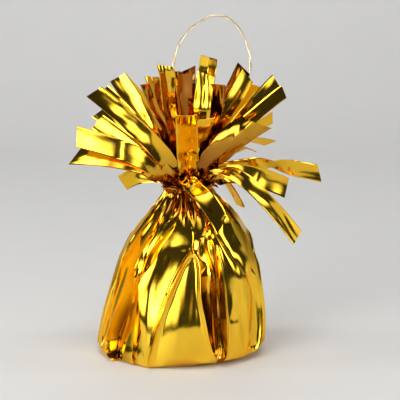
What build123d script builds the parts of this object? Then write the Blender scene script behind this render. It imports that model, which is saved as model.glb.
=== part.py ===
from build123d import *
import os
from math import asin, atan2, cos, degrees, radians, sin, sqrt

# A foil balloon weight: a cast core wrapped in a sheet of gold film that is gathered into pleats,
# tied with wire at the neck, and topped with a fringe of film strips. A loop of twisted wire for
# the balloon ribbons swings on the tie behind the fringe.
# Millimetres and degrees. +Z is up, the front faces -Y, and the origin is the middle of the base.

# Film wrap: how high, how wide and how far to the right each level of it is
film = 0.3
foot_radius = 30.6
foot_shift = -0.3
belly_height = 5.5
belly_radius = 32.4
belly_shift = 0.3
flank_height = 16.0
flank_radius = 31.3
flank_shift = 1.3
waist_height = 31.0
waist_radius = 28.1
waist_shift = 2.6
shoulder_drop = 22.0
shoulder_radius = 23.9
shoulder_shift = 3.8
throat_drop = 8.6
throat_radius = 16.0
throat_shift = 4.6
neck_height = 67.0
neck_radius = 8.3
rim_rise = 2.5
rim_clearance = 0.3
lean = 3.4

# Pleats at the throat and the neck, and how far the folds have come together at the throat
throat_gather = 0.7
throat_pleat = 1.4
neck_pleat = 1.9
neck_margin = 0.3

# Folds of the wrap below the throat. Each one has its azimuth at the foot, the flank, the waist and the
# shoulder, in degrees from the front and positive to the right, and how far it stands out or sinks in
# at the flank, the waist and the shoulder.
foot_fold_share = 0.3
belly_fold_share = 0.9
seam_fold = ((-180, -180, -180, -180), (0.3, 0.5, 0.6))
left_folds = [
    ((-86, -84, -82, -77), (0.6, 0.7, 0.6)),
    ((-74, -76, -74, -67), (0.2, 0.3, 0.4)),
]
pocket_folds = [
    ((-53, -57, -51, -48), (1.5, 1.2, 0.9)),
    ((-51, -54, -49, -46), (-2.3, -1.3, 0.4)),
    ((-36, -38, -43, -39), (-0.6, -0.2, 0.2)),
]
upper_folds = [
    ((-25, -32, -41, -34), (-0.2, 0.0, 1.2)),
    ((-24, -29, -38, -31), (0.5, 0.5, -0.8)),
]
arch_left_fold = ((-20, -17, -11, 1), (1.4, 1.3, 0.9))
arch_middle_fold = ((3, 0, 0, 2.5), (0.6, 0.9, 1.1))
lens_folds = [
    ((26.5, 16, 10, 4), (1.2, 1.2, 1.2)),
    ((28, 18, 13, 7), (-2.2, -2.1, -0.4)),
    ((29.5, 30, 27.5, 22.5), (-2.1, -2.1, -1.4)),
    ((31, 31.5, 29, 24), (1.2, 1.2, 1.1)),
]
right_folds = [
    ((41, 44, 44, 29), (0.9, 0.9, 0.9)),
    ((52, 56, 57, 34.5), (0.1, 0.7, 0.9)),
    ((64, 71.5, 68, 57), (0.4, 0.6, 0.9)),
    ((80, 82, 80, 74.5), (0.1, 0.3, 0.6)),
]

# The back carries the pocket, the arch and the lens again on both sides, turned by this and narrower
back_turn = 122.0
back_width = 0.85
back_left_strength = 0.9
back_right_strength = 1.1

# Cast core
core_height = 43.0
core_clearance = 0.9
core_edge = 3.0
core_seat_gap = 0.2
core_levels = 12

# Wire tie round the neck
tie_wire = 0.9
tie_clearance = 0.1
tie_bend = 1.2
tie_tail = 5.0
tie_tail_gap = 0.6
tie_tail_azimuth = -148.0

# Twisted wire loop
loop_wire = 0.9
loop_height = 69.0
loop_width = 31.0
loop_stem = 5.0
loop_stem_radius = 1.3
loop_stem_strands = 1.4
loop_foot_radius = 22.0
loop_crown = 21.0
loop_shoulder_turn = 55.0
loop_side_lean = 11.0
loop_back_lean = 10.0
eye_clearance = 0.2

# Film strips, bound in rings inside the neck
strip_width = 7.0
root_width = 1.7
root_depth = 6.0
root_clearance = 0.2
ring_pitch = 0.8
fringe_taper = 15.0
crown_taper = 22.0
tuft_taper = 30.0
bend_share = 0.35
twist_share = 0.4

# Each strip: where its tip lies from the middle of the rim (x, y, z), how far it arches up on the
# way, and how far it twists about its own length. A ring's strips go round from the back left by
# way of the front to the back right. The first value is where the strip leaves the rim, in
# degrees from the front, positive to the right.
ring_1 = [
    (-160, (-8.0, 25.0, -13.0), 11.0, 0.0),
    (-137, (-24.0, 30.0, 2.0), 7.0, 15.0),
    (-113, (-28.4, 22.0, -4.5), 6.0, 55.0),
    (-84, (-45.2, -3.0, 10.3), 5.0, 80.0),
    (14, (12.8, -19.4, -15.0), 12.0, 0.0),
    (40, (42.6, -17.0, -20.2), 20.0, 0.0),
    (67, (38.8, -6.0, -2.1), 8.0, -75.0),
    (93, (52.4, 7.0, 1.7), 9.0, -35.0),
    (117, (21.6, 13.0, -11.7), 8.0, 0.0),
    (140, (27.0, 29.0, 1.0), 7.0, -15.0),
    (162, (11.0, 24.0, -15.0), 11.0, 0.0),
]
ring_2 = [
    (-136, (-31.0, 27.0, 14.0), 8.0, 20.0),
    (-110, (-36.4, 10.0, 26.8), 3.0, 85.0),
    (-84, (-36.8, 5.0, 22.9), 1.0, 85.0),
    (-42, (-43.2, -12.0, 19.3), 3.0, 70.0),
    (46, (25.2, -14.0, 24.7), 4.0, -55.0),
    (79, (26.0, -5.0, 12.4), 2.5, -15.0),
    (106, (34.4, 16.0, 22.8), 3.0, -50.0),
    (134, (33.0, 27.0, 13.0), 9.0, -20.0),
]
ring_3 = [
    (-162, (-10.0, 10.0, 35.0), 3.0, 0.0),
    (-134, (-23.8, 14.0, 40.1), 4.0, 60.0),
    (-102, (-28.6, 8.0, 40.6), 4.0, 60.0),
    (-61, (-34.0, -2.0, 35.6), 4.0, 85.0),
    (-32, (-36.6, -14.0, 36.8), 3.0, 5.0),
    (-4, (-1.0, -26.0, 28.2), 8.0, 0.0),
    (25, (7.0, -20.0, 26.9), 8.0, 0.0),
    (53, (37.6, -9.0, 35.8), 4.0, -50.0),
    (86, (23.8, 1.0, 41.4), 4.0, -75.0),
    (114, (35.4, 12.0, 38.2), 2.0, -65.0),
    (142, (26.0, 14.0, 36.9), 1.0, -110.0),
    (170, (5.0, 11.0, 34.0), 3.0, 0.0),
]
ring_4 = [
    (-160, (-8.0, 9.0, 42.0), 3.0, -20.0),
    (-121, (-14.0, 3.0, 41.1), 4.0, 80.0),
    (-82, (-15.6, -6.0, 39.2), 7.0, 75.0),
    (-46, (-9.6, -8.0, 46.4), 4.0, 45.0),
    (-10, (-2.0, -10.0, 43.3), 4.0, 5.0),
    (26, (6.8, -9.5, 42.2), 4.0, -35.0),
    (63, (13.6, -6.0, 38.8), 5.0, -70.0),
    (116, (22.8, 6.0, 43.4), 9.0, -110.0),
]
ring_5 = [
    (-125, (-7.0, 3.0, 38.0), 2.0, 110.0),
    (-65, (-5.0, -1.0, 40.0), 2.0, 65.0),
    (-10, (1.0, -4.0, 37.0), 2.0, 20.0),
    (45, (6.0, -1.0, 36.0), 2.0, -40.0),
    (140, (8.6, 6.0, 48.5), 4.0, 45.0),
    (-170, (-1.2, 6.0, 43.8), 2.0, -10.0),
]

rim_height = neck_height + rim_rise
rim_middle = Vector(lean, 0, rim_height)
tie_radius = neck_radius + tie_clearance + tie_wire / 2
pivot = Vector(lean, tie_radius, neck_height)
eye_radius = tie_wire / 2 + eye_clearance + loop_wire / 2
first_ring = sqrt((neck_radius - neck_pleat - film - root_clearance) ** 2 - (root_width / 2) ** 2) - film / 2


def ring_direction(azimuth):
    """Level direction away from the axis: 0 is the front, 90 the right."""
    return Vector(sin(radians(azimuth)), -cos(radians(azimuth)), 0)


def smooth(share):
    """0 to 1, level at both ends."""
    share = min(max(share, 0.0), 1.0)
    return share * share * (3 - 2 * share)


def strip_stations(ring, azimuth, tip, arch, twist, taper):
    """Middle, direction along, direction across and width at each station of a strip."""
    up = Vector(0, 0, 1)
    out = ring_direction(azimuth)
    side = out.cross(up) * -1
    start = rim_middle + out * (first_ring - ring * ring_pitch)
    end = rim_middle + Vector(*tip)
    bend = start + (end - start) * bend_share + up * arch
    stations = [(start - up * root_depth, up, side, root_width)]
    run = 0.0
    before = start
    for share in (0.0, 0.08, 0.17, 0.28, 0.4, 0.54, 0.7, 0.85, 1.0):
        middle = start * (1 - share) ** 2 + bend * (2 * share * (1 - share)) + end * share**2
        along = ((bend - start) * (1 - share) + (end - bend) * share).normalized()
        if share == 0.0:
            along = (along + up).normalized()
        run += (middle - before).length
        before = middle
        level = (side - along * side.dot(along)).normalized()
        upright = along.cross(level)
        turn = radians(twist) * smooth(share / twist_share)
        across = level * cos(turn) + upright * sin(turn)
        width = root_width + (strip_width - root_width) * smooth(run / taper)
        stations.append((middle, along, across, width))
    return stations


def film_strip(stations):
    """A flat strip through its stations."""
    sections = []
    for middle, along, across, width in stations:
        sections.append(Plane(middle, x_dir=across, z_dir=along) * Rectangle(width, film))
    return loft(sections, ruled=True)


def all_strips():
    """Name and stations of every strip."""
    strips = {}
    rings = (
        ("fringe", ring_1, fringe_taper),
        ("fringe", ring_2, fringe_taper),
        ("fringe", ring_3, crown_taper),
        ("tuft", ring_4, tuft_taper),
        ("tuft", ring_5, tuft_taper),
    )
    count = {"fringe": 0, "tuft": 0}
    for ring, (group, rows, taper) in enumerate(rings):
        for azimuth, tip, arch, twist in rows:
            count[group] += 1
            name = f"{group}_strip_{count[group]:02d}"
            strips[name] = strip_stations(ring, azimuth, tip, arch, twist, taper)
    return strips


def turned_fold(fold, middle, width, strength):
    """A fold of the front, moved round to another side."""
    azimuths, offsets = fold
    return [middle + width * azimuth for azimuth in azimuths], [strength * offset for offset in offsets]


def all_folds():
    """Every fold, from the back round by the left, the front and the right."""
    repeated = [*pocket_folds, arch_left_fold, *lens_folds]
    back_left = [turned_fold(fold, -back_turn, back_width, back_left_strength) for fold in repeated]
    back_right = [turned_fold(fold, back_turn, -back_width, back_right_strength) for fold in repeated[::-1]]
    front = [*pocket_folds, *upper_folds, arch_left_fold, arch_middle_fold, *lens_folds]
    return [seam_fold, *back_left, *left_folds, *front, *right_folds, *back_right]


def between(first, second, share):
    """Each pair of values or points, mixed by the share of the second."""
    return [a * (1 - share) + b * share for a, b in zip(first, second)]


def wrap_levels():
    """Height, radius, shift, fold azimuths and fold offsets of each level, from the foot to the rim."""
    folds = all_folds()
    count = len(folds)
    foot, flank, waist, shoulder = zip(*(azimuths for azimuths, _ in folds))
    at_flank, at_waist, at_shoulder = zip(*(offsets for _, offsets in folds))
    even = [360 * fold / count - 180 for fold in range(count)]
    sunk = [fold % 2 - 1 for fold in range(count)]
    at_foot = [foot_fold_share * offset for offset in at_flank]
    at_belly = [belly_fold_share * offset for offset in at_flank]
    at_throat = [throat_pleat * valley for valley in sunk]
    at_neck = [neck_pleat * valley for valley in sunk]
    belly = between(foot, flank, belly_height / flank_height)
    throat = between(shoulder, even, throat_gather)
    neck_start = neck_height - eye_radius - loop_wire / 2 - neck_margin
    return [
        (0.0, foot_radius, foot_shift, foot, at_foot),
        (belly_height, belly_radius, belly_shift, belly, at_belly),
        (flank_height, flank_radius, flank_shift, flank, at_flank),
        (waist_height, waist_radius, waist_shift, waist, at_waist),
        (neck_height - shoulder_drop, shoulder_radius, shoulder_shift, shoulder, at_shoulder),
        (neck_height - throat_drop, throat_radius, throat_shift, throat, at_throat),
        (neck_start, neck_radius, lean, even, at_neck),
        (rim_height - rim_clearance, neck_radius, lean, even, at_neck),
    ]


def wrap_corners(level, inset):
    """Corners of the folded film at one level, moved in by the inset. A valley faces the back."""
    height, radius, shift, azimuths, offsets = level
    middle = Vector(shift, 0, height)
    return [
        middle + ring_direction(azimuth) * (radius + offset - inset)
        for azimuth, offset in zip(azimuths, offsets)
    ]


def folded_solid(levels, inset):
    """A solid through the corners of every level."""
    sections = [Face(Wire.make_polygon(wrap_corners(level, inset), close=True)) for level in levels]
    return loft(sections, ruled=True)


def foil_wrap():
    """The gathered sheet: a folded shell, closed below and open at the rim."""
    levels = wrap_levels()
    floor = (film, *levels[0][1:])
    mouth = (rim_height, *levels[-1][1:])
    return folded_solid(levels, 0.0) - folded_solid([floor, *levels[1:-1], mouth], film)


def core_room(height):
    """Distance from the upright axis to the nearest side of the film at a height."""
    levels = wrap_levels()
    for low, high in zip(levels[:-1], levels[1:]):
        if low[0] <= height <= high[0]:
            share = (height - low[0]) / (high[0] - low[0])
            corners = between(wrap_corners(low, film), wrap_corners(high, film), share)
            axis = Vector(0, 0, height)
            ends = [*corners[1:], corners[0]]
            return min(Edge.make_line(a, b).distance_to(axis) for a, b in zip(corners, ends))


def weight_core():
    """The cast block, narrower at the top, with rounded edges, clear of the wrap all the way up."""
    seat = film + core_seat_gap
    top = core_room(seat + core_height) - core_clearance
    foot = core_room(seat) - core_clearance
    for level in range(1, core_levels):
        share = level / core_levels
        room = core_room(seat + core_height * share) - core_clearance
        foot = min(foot, (room - top * share) / (1 - share))
    block = Pos(0, 0, seat) * Cone(foot, top, core_height, align=(Align.CENTER, Align.CENTER, Align.MIN))
    return fillet(block.edges().filter_by(GeomType.CIRCLE), core_edge)


def neck_tie():
    """One turn of wire round the neck, with both ends turned out side by side."""
    half = (tie_tail_gap + tie_wire) / 2
    meet = asin((half + tie_bend) / (tie_radius + tie_bend))
    reach = (tie_radius + tie_bend) * cos(meet)
    middle = radians(225) + meet / 2

    def bend(side):
        start = (reach, side * half)
        through = (reach + tie_bend * cos(middle), side * (half + tie_bend + tie_bend * sin(middle)))
        return start, through, (tie_radius * cos(meet), side * tie_radius * sin(meet))

    left = bend(1)
    right = bend(-1)
    path = Wire(
        [
            Line((tie_radius + tie_tail, half), left[0]),
            ThreePointArc(*left),
            ThreePointArc(left[2], (-tie_radius, 0), right[2]),
            ThreePointArc(*right[::-1]),
            Line(right[0], (tie_radius + tie_tail, -half)),
        ]
    )
    end = Plane(path @ 0, z_dir=path % 0)
    wire = sweep(end * Circle(tie_wire / 2), path)
    return Plane((lean, 0, neck_height), x_dir=ring_direction(tie_tail_azimuth), z_dir=(0, 0, 1)) * wire


def hanging_loop():
    """A teardrop of wire on a short twisted stem, with an eye round the tie."""
    back = radians(loop_back_lean)
    tilt = radians(loop_side_lean)
    rise = Vector(0, sin(back), cos(back))
    along = rise * cos(tilt) + Vector(1, 0, 0) * sin(tilt)
    across = Vector(1, 0, 0) * cos(tilt) - rise * sin(tilt)
    plane = Plane(pivot, x_dir=across, z_dir=across.cross(along))

    half_width = loop_width / 2
    strand = loop_stem_strands / 2
    leg_rise = loop_height - loop_crown - loop_stem
    leg_turn = 2 * atan2(half_width - strand, leg_rise)
    leg_radius = leg_rise / sin(leg_turn) - loop_foot_radius
    turn = radians(loop_shoulder_turn)
    top_radius = (half_width * sin(turn) - loop_crown * (1 - cos(turn))) / (sin(turn) + cos(turn) - 1)
    side_radius = (half_width - top_radius * cos(turn)) / (1 - cos(turn))

    stem = Line((strand, loop_stem / 2), (strand, loop_stem))
    foot = JernArc(stem @ 1, stem % 1, loop_foot_radius, -degrees(leg_turn))
    leg = JernArc(foot @ 1, foot % 1, leg_radius, degrees(leg_turn))
    side = JernArc(leg @ 1, leg % 1, side_radius, loop_shoulder_turn)
    top = JernArc(side @ 1, side % 1, top_radius, 90 - loop_shoulder_turn)
    right = [stem, foot, leg, side, top]
    left = [mirror(edge, Plane.YZ) for edge in right]
    path = Wire([piece.edge() for piece in right + left[::-1]])
    end = Plane(path @ 0, z_dir=path % 0)
    loop = sweep(end * Circle(loop_wire / 2), path)
    twist = Plane((0, eye_radius, 0), z_dir=(0, 1, 0)) * Cylinder(
        loop_stem_radius, loop_stem - eye_radius, align=(Align.CENTER, Align.CENTER, Align.MIN)
    )
    eye = Plane(pivot, z_dir=(1, 0, 0)) * Torus(eye_radius, loop_wire / 2)
    return plane * (loop + twist) + eye


def main():
    os.makedirs("parts", exist_ok=True)
    nodes = {
        "weight_core": weight_core(),
        "foil_wrap": foil_wrap(),
        "neck_tie": neck_tie(),
        "hanging_loop": hanging_loop(),
    }
    for name, stations in all_strips().items():
        nodes[name] = film_strip(stations)
    for name, solid in nodes.items():
        solid.label = name
        export_step(solid, f"parts/{name}.step")
        print(name, round(solid.volume, 1), solid.is_valid, len(solid.solids()))


if __name__ == "__main__":
    main()
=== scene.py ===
import math
import bpy
import numpy as np
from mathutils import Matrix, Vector


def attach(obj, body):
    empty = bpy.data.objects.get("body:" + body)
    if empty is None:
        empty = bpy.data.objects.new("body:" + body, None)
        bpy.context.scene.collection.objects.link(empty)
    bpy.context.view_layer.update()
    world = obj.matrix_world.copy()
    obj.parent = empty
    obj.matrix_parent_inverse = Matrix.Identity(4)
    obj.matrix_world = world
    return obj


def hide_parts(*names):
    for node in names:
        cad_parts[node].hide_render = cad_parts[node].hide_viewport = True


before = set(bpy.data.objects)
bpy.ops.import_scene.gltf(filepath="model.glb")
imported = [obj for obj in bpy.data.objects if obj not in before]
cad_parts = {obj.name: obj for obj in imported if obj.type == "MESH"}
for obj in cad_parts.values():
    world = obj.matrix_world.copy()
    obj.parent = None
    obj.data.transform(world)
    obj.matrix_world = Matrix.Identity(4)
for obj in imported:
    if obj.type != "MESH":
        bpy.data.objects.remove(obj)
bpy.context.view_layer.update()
mm = 0.001
curveSteps = 24  # points between two given points of a curve
wave = 6.28  # one full wave in radians, near enough


# Small helpers

def clearSelection():
    bpy.ops.object.select_all(action="DESELECT")


def pick(piece):
    clearSelection()
    piece.select_set(True)
    bpy.context.view_layer.objects.active = piece


def smoothStep(share):
    share = np.clip(share, 0.0, 1.0)
    return share * share * (3 - 2 * share)


def rampUp(value, start, width):
    # 0 up to start, 1 from start + width on
    return smoothStep((value - start) / width)


def readTable(place, rows):
    # a value read off listed rows of (place, value)
    return np.interp(place, *np.array(rows, float).T)


def runLength(points):
    steps = np.linalg.norm(np.diff(points, axis=0), axis=1)
    return np.concatenate([[0], np.cumsum(steps)])


def filmGrid(name, columns, rows):
    # a flat piece of film; x runs across it and y along it, both from -1 to 1
    clearSelection()
    bpy.ops.mesh.primitive_grid_add(x_subdivisions=columns, y_subdivisions=rows, size=2)
    piece = bpy.context.object
    piece.name = name
    piece.data.name = name
    flat = np.zeros(len(piece.data.vertices) * 3)
    piece.data.vertices.foreach_get("co", flat)
    flat = flat.reshape(-1, 3)
    return piece, flat[:, 0], flat[:, 1]


def placePoints(piece, points):
    piece.data.vertices.foreach_set("co", (points * mm).ravel())
    piece.data.update()


# painted shade: each point stores how far its colour is darkened in place of shade and darker reflections
def markPaintedShade(piece, amount):
    layer = piece.data.attributes.new("deep", "FLOAT", "POINT")
    layer.data.foreach_set("value", np.clip(amount, 0, 1))


def thicken(piece, thickness, offset):
    pick(piece)
    film = piece.modifiers.new("film", "SOLIDIFY")
    film.thickness = thickness * mm
    film.offset = offset
    bpy.ops.object.modifier_apply(modifier=film.name)


def mergePoints(piece, distance):
    pick(piece)
    bpy.ops.object.mode_set(mode="EDIT")
    bpy.ops.mesh.select_all(action="SELECT")
    bpy.ops.mesh.remove_doubles(threshold=distance * mm)
    bpy.ops.mesh.normals_make_consistent(inside=False)
    bpy.ops.object.mode_set(mode="OBJECT")


def smoothShade(piece):
    pick(piece)
    bpy.ops.object.shade_smooth()


def creasedShade(piece, degrees):
    pick(piece)
    bpy.ops.object.shade_smooth_by_angle(angle=math.radians(degrees))


def finishPiece(piece, material, body, slot, *nodes):
    piece.data.materials.clear()
    piece.data.materials.append(material)
    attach(piece, body)
    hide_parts(*nodes)
    print("piece", piece.name, len(piece.data.polygons), "faces")


def roundCurve(points, count):
    # a smooth curve through given points, evenly spaced along its length
    points = np.array(points, float)
    padded = np.vstack([2 * points[0] - points[1], points, 2 * points[-1] - points[-2]])
    steps = np.linspace(0, 1, curveSteps, endpoint=False)[:, None]
    spans = []
    for before, start, end, after in zip(padded[:-3], padded[1:-2], padded[2:-1], padded[3:]):
        bend = 2 * before - 5 * start + 4 * end - after
        sway = 3 * start - before - 3 * end + after
        spans.append(0.5 * (2 * start + (end - before) * steps + bend * steps**2 + sway * steps**3))
    dense = np.vstack(spans + [points[-1:]])
    run = runLength(dense)
    even = np.linspace(0, run[-1], count)
    return np.stack([np.interp(even, run, dense[:, k]) for k in range(dense.shape[1])], axis=1)


# Shader maths: a socket that can be used in Python expressions

class Value:
    def __init__(self, kit, socket):
        self.kit = kit
        self.socket = socket

    def calc(self, operation, first, second):
        made = self.kit.node("ShaderNodeMath", {"operation": operation}, {0: first, 1: second})
        return made("Value")

    def __add__(self, other):
        return self.calc("ADD", self, other)

    def __radd__(self, other):
        return self.calc("ADD", other, self)

    def __sub__(self, other):
        return self.calc("SUBTRACT", self, other)

    def __rsub__(self, other):
        return self.calc("SUBTRACT", other, self)

    def __mul__(self, other):
        return self.calc("MULTIPLY", self, other)

    def __rmul__(self, other):
        return self.calc("MULTIPLY", other, self)

    def __pow__(self, other):
        return self.calc("POWER", self, other)


class ShaderKit:
    def __init__(self, owner, shader):
        owner.use_nodes = True
        self.owner = owner
        self.tree = owner.node_tree
        self.shader = self.tree.nodes[shader]

    def node(self, kind, settings, sockets):
        made = self.tree.nodes.new(kind)
        for name, value in settings.items():
            if name == "stops":
                self.setStops(made.color_ramp, value)
            else:
                setattr(made, name, value)
        for name, value in sockets.items():
            self.feed(made.inputs[name], value)
        return lambda output: Value(self, made.outputs[output])

    def setStops(self, ramp, stops):
        while len(ramp.elements) < len(stops):
            ramp.elements.new(1.0)
        for element, (position, colour) in zip(ramp.elements, stops):
            element.position = position
            element.color = colour

    def feed(self, socket, value):
        if isinstance(value, Value):
            self.tree.links.new(value.socket, socket)
        else:
            socket.default_value = value

    def finish(self, **sockets):
        for name, value in sockets.items():
            self.feed(self.shader.inputs[name.replace("_", " ")], value)
        return self.owner

    def noise(self, scale, detail, roughness):
        place = self.node("ShaderNodeTexCoord", {}, {})("Object")
        settings = {"Vector": place, "Scale": scale, "Detail": detail, "Roughness": roughness}
        return self.node("ShaderNodeTexNoise", {}, settings)("Fac")

    def blend(self, share, first, second):
        # 6, 7 and 2 are the colour sockets of the Mix node
        sockets = {"Factor": share, 6: first, 7: second}
        return self.node("ShaderNodeMix", {"data_type": "RGBA"}, sockets)(2)

    def ramp(self, value, stops):
        return self.node("ShaderNodeValToRGB", {"stops": stops}, {"Fac": value})

    def bump(self, height, distance, strength):
        sockets = {"Height": height, "Distance": distance * mm, "Strength": strength}
        return self.node("ShaderNodeBump", {}, sockets)("Normal")


def newFinish(name):
    return ShaderKit(bpy.data.materials.new(name), "Principled BSDF")


# The finishes. A noise is given as scale, detail and roughness; heights are in millimetres.

filmFinish = {
    "gold": (1.0, 0.63, 0.032, 1),
    "deepGold": (0.96, 0.53, 0.022, 1),
    # painted shade: the dark brown that folds, pockets, the throat and strip roots are blended toward
    "paintedShadeColour": (0.28, 0.08, 0.004, 1),
    "patchNoise": (55, 2, 0.5),
    "patchStops": [(0.35, (0, 0, 0, 1)), (0.70, (1, 1, 1, 1))],
    "scuffNoise": (420, 4, 0.65),
    "roughness": 0.09,
    "haze": 0.12,
    "crinkleNoise": (260, 3, 0.55),
    "fineNoise": (900, 2, 0.5),
    "fineShare": 0.25,
    "crinkleHeight": 0.05,
    "crinkleStrength": 0.35,
    "lacquer": {
        "Coat_Weight": 0.3,
        "Coat_Roughness": 0.05,
        "Coat_IOR": 1.5,
        "Specular_Tint": (1.0, 0.70, 0.10, 1),
    },
}


def goldFilm():
    # painted shade: the film's colour is darkened inside folds and at the roots of the strips by the
    # amount a point attribute holds, in place of shade and darker reflections there
    look = filmFinish
    kit = newFinish("goldFilm")
    patches = kit.ramp(kit.noise(*look["patchNoise"]), look["patchStops"])("Color")
    colour = kit.blend(patches, look["gold"], look["deepGold"])
    deep = kit.node("ShaderNodeAttribute", {"attribute_name": "deep"}, {})("Fac")
    colour = kit.blend(deep, colour, look["paintedShadeColour"])
    scuffs = kit.noise(*look["scuffNoise"])
    roughness = look["roughness"] + look["haze"] * scuffs**3
    crinkle = kit.noise(*look["crinkleNoise"]) + look["fineShare"] * kit.noise(*look["fineNoise"])
    normal = kit.bump(crinkle, look["crinkleHeight"], look["crinkleStrength"])
    return kit.finish(
        Base_Color=colour, Roughness=roughness, Metallic=1.0, Normal=normal, **look["lacquer"]
    )


wireFinish = {
    "tie": (0.80, 0.46, 0.08, 1),
    "tieDark": (0.62, 0.33, 0.05, 1),
    "brass": (0.72, 0.54, 0.28, 1),
    "bright": (0.86, 0.79, 0.64, 1),
    "patchNoise": (140, 2, 0.5),
    "scuffNoise": (900, 3, 0.6),
    "roughness": 0.16,
    "haze": 0.16,
    "drawnNoise": (2200, 2, 0.5),
    "drawnHeight": 0.02,
    "drawnStrength": 0.3,
}


def wireMetal(name, first, second):
    look = wireFinish
    kit = newFinish(name)
    colour = kit.blend(kit.noise(*look["patchNoise"]), first, second)
    roughness = look["roughness"] + look["haze"] * kit.noise(*look["scuffNoise"])
    normal = kit.bump(kit.noise(*look["drawnNoise"]), look["drawnHeight"], look["drawnStrength"])
    return kit.finish(Base_Color=colour, Roughness=roughness, Metallic=1.0, Normal=normal)


coreFinish = {
    "cement": (0.50, 0.48, 0.45, 1),
    "pores": (0.38, 0.36, 0.33, 1),
    "grainNoise": (600, 5, 0.7),
    "grainHeight": 0.3,
    "grainStrength": 0.6,
    "roughness": 0.8,
    "haze": 0.15,
}


def castCement():
    look = coreFinish
    kit = newFinish("castCement")
    grain = kit.noise(*look["grainNoise"])
    colour = kit.blend(grain, look["pores"], look["cement"])
    normal = kit.bump(grain, look["grainHeight"], look["grainStrength"])
    return kit.finish(Base_Color=colour, Roughness=look["roughness"] + look["haze"] * grain, Normal=normal)


# The gathered bag, in millimetres and in degrees from the front, positive to the right. Pairs called Ramp
# or End say where a change starts and how long it takes. outline: (height, radius); axis: (height, x).
# collar says where the rim's film droops over the tie, and footLift how far the lower edge is bent up.
# Streaks are waves round the bag: how many, height, phase and lean. Frill waves: height, how many, phase.
# Near the neck evenly spread gathers take over from the creases.

bag = {
    "columns": 456,
    "leastColumns": 7,
    "baseRows": 9,
    "wallRows": 94,
    "film": 0.12,
    "mergeGap": 0.001,
    "outlinePoints": 500,
    "basePoints": 200,
    "baseRadius": 29.0,
    "outline": [
        (0.3, 0.0), (0.25, 14.0), (0.0, 28.0), (0.1, 30.6), (0.5, 31.9), (1.8, 32.5), (6.0, 32.4),
        (16.6, 31.0), (26.0, 29.1), (36.0, 26.9), (43.0, 24.6), (48.0, 22.6), (53.0, 19.8),
        (57.5, 16.4), (61.0, 13.0), (63.6, 10.6), (65.3, 9.7), (66.2, 8.6), (67.0, 7.8), (68.0, 8.1),
        (68.7, 9.3), (69.6, 9.9), (70.8, 10.2),
    ],
    "axis": [(0, -0.4), (7, 0.5), (26, 2.2), (43, 3.6), (55, 4.7), (60, 4.6), (66, 3.4), (72, 3.4)],
    "creasePoints": 80,
    "shareHeight": 20.0,
    "crowding": 0.55,
    "gatherRamp": (50.0, 13.0),
    "ridge": (0.1, 1.0),
    "valley": (0.5, 1.7),
    "fineHeight": (0.15, 0.45),
    "fineCount": (1.2, 1.9),
    "wander": 0.4,
    "flatness": 0.6,
    "bellyRamp": (0.0, 18.0),
    "liftRamp": 0.03,
    "cornerRamp": (27.0, 4.0),
    "lowHeight": 6.0,
    "lowRise": 0.4,
    "frill": 1.3,
    "frillRamp": (68.0, 4.0),
    "frillOut": (0.6, 6, 0.7),
    "frillUp": [(0.6, 7, 1.0), (0.5, 13, 2.2)],
    "collar": [
        (-180, 0.0), (-120, 0.0), (-95, 0.5), (-70, 0.7), (-52, 1.05), (-36, 0.7), (-20, 1.0), (-5, 0.8),
        (9, 1.1), (24, 0.75), (40, 1.05), (58, 0.7), (76, 0.9), (95, 0.6), (125, 0.4), (155, 0.0),
        (180, 0.0),
    ],
    "collarOut": 1.5,
    "collarDrop": 4.2,
    "collarBend": 1.2,
    "rimPace": 22.0,
    "tieHeight": 67.0,
    "tieReach": 1.1,
    "stemRoom": 6.9,
    "stemAngle": 16.0,
    "stemRamp": (63.0, 2.0),
    "sharpFrom": 24,
    "streaks": [(17, 0.08, 0.4, 0.05), (37, 0.03, 2.1, -0.08), (61, 0.012, 1.0, 0.12)],
    "streakRamp": (3.0, 8.0),
    "streakEnd": (44.0, 8.0),
    "dentLean": 0.4,
    "pinchWidth": 0.85,
    "pinchRamp": (0.0, 2.5),
    "pinchFade": 4.0,
    "footLift": [
        (-180, 0.4), (-150, 1.4), (-120, 0.5), (-86, 1.2), (-58, 0.2), (-20, 0.0), (5, 0.7), (28, 1.8),
        (48, 1.4), (72, 2.0), (100, 0.6), (140, 1.5), (180, 0.4),
    ],
    "footReach": 7.0,
    "footRamp": (26.0, 4.0),
    # painted shade in the film's colour: over the throat, in the pockets and low in the folds near the
    # base
    "throatRamp": (48.0, 12.0),
    "throatShade": 0.5,
    "throatContrast": 0.55,
    "throatLevel": 0.3,
    "pocketShade": (1.4, 2.2),
    "footShade": 1.6,
    "footShadeRamp": (0.3, 0.4),
    "footShadeEnd": (0.0, 8.0),
    "flat": (0.21, 0.105),  # the film spread out, in metres
    "seed": 5,
}

# Small dents in the facets: angle, height, how wide and how tall they are, depth
dents = [
    (-44, 39, 4.0, 5.0, 0.6), (47, 18, 7.0, 14.0, 0.7), (60, 5, 4.0, 4.0, 0.9), (75, 9, 3.0, 6.0, -0.7),
    (-80, 30, 4.0, 11.0, 0.8), (-27, 20, 4.0, 14.0, -0.5), (112, 16, 5.0, 9.0, 0.8),
    (128, 33, 6.0, 10.0, 0.9), (150, 13, 4.0, 8.0, -0.7), (-150, 18, 5.0, 10.0, 0.8),
    (-126, 36, 5.0, 9.0, 0.9), (-106, 10, 4.0, 7.0, -0.7), (174, 26, 5.0, 12.0, 0.8),
    (-168, 42, 4.0, 8.0, -0.7), (98, 40, 4.0, 8.0, 0.8),
]

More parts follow.
